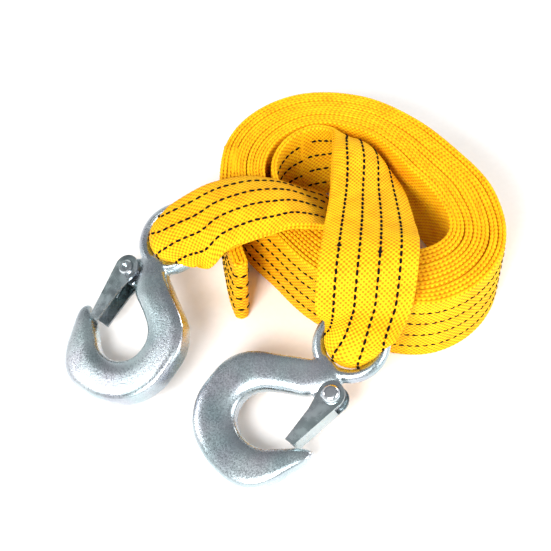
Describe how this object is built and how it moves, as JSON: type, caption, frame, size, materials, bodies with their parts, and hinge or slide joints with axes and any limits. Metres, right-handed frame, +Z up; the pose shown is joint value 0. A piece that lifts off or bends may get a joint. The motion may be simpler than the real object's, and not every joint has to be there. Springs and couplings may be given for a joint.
{
  "type": "tow strap with hooks",
  "caption": "Flat webbing tow strap wound in a roll that stands on its edge, with a latched forged eye hook at either end.",
  "frame": {"origin": "under the middle of the whole object's bounding box, on the surface that it lies on", "axes": "+Z up, the roll's own axis; +X from the hooks towards the roll; +Y from the front hook towards the roll's back"},
  "size_m": [0.2392, 0.2362, 0.0722],
  "materials": {
    "webbing": "flat woven polyester webbing with dark stitched rows",
    "forging": "zinc-plated rough forging",
    "latch_sheet": "zinc-plated pressed sheet",
    "rivet_steel": "bright plated",
    "spring_wire": "drawn wire"
  },
  "bodies": {
    "strap": {"webbing_roll": "webbing", "webbing_bight": "webbing", "front_strap_run": "webbing", "left_strap_run": "webbing"},
    "front_loop": {"front_eye_loop": "webbing"},
    "front_hook": {"front_hook_body": "forging", "front_rivet": "rivet_steel"},
    "front_latch": {"front_latch": "latch_sheet", "front_latch_spring": "spring_wire"},
    "left_loop": {"left_eye_loop": "webbing"},
    "left_hook": {"left_hook_body": "forging", "left_rivet": "rivet_steel"},
    "left_latch": {"left_latch": "latch_sheet", "left_latch_spring": "spring_wire"}
  },
  "joints": [
    {"name": "front_loop_flex", "type": "hinge", "parent": "strap", "child": "front_loop", "pos_m": [0.04179, -0.02875, 0.05005], "axis": [-0.9116, 0.3946, -0.1148], "range_deg": [0, 25]},
    {"name": "front_hook_swing", "type": "hinge", "parent": "front_loop", "child": "front_hook", "pos_m": [0.03314, -0.05145, 0.04078], "axis": [-0.241, -0.287, 0.9271], "range_deg": [-20, 35]},
    {"name": "front_latch_open", "type": "hinge", "parent": "front_hook", "child": "front_latch", "pos_m": [0.02366, -0.0772, 0.03034], "axis": [0.241, 0.287, -0.9271], "range_deg": [0, 19], "stiffness_Nm_per_rad": 0.15, "springref_deg": -20.05},
    {"name": "left_loop_flex", "type": "hinge", "parent": "strap", "child": "left_loop", "pos_m": [-0.03928, 0.02148, 0.05675], "axis": [-0.3418, 0.9375, 0.0652], "range_deg": [0, 30]},
    {"name": "left_hook_swing", "type": "hinge", "parent": "left_loop", "child": "left_hook", "pos_m": [-0.06129, 0.01428, 0.04494], "axis": [0.4078, 0.2105, -0.8885], "range_deg": [-40, 20]},
    {"name": "left_latch_open", "type": "hinge", "parent": "left_hook", "child": "left_latch", "pos_m": [-0.08443, 0.00222, 0.03147], "axis": [-0.4078, -0.2105, 0.8885], "range_deg": [0, 19], "stiffness_Nm_per_rad": 0.15, "springref_deg": -20.05}
  ]
}
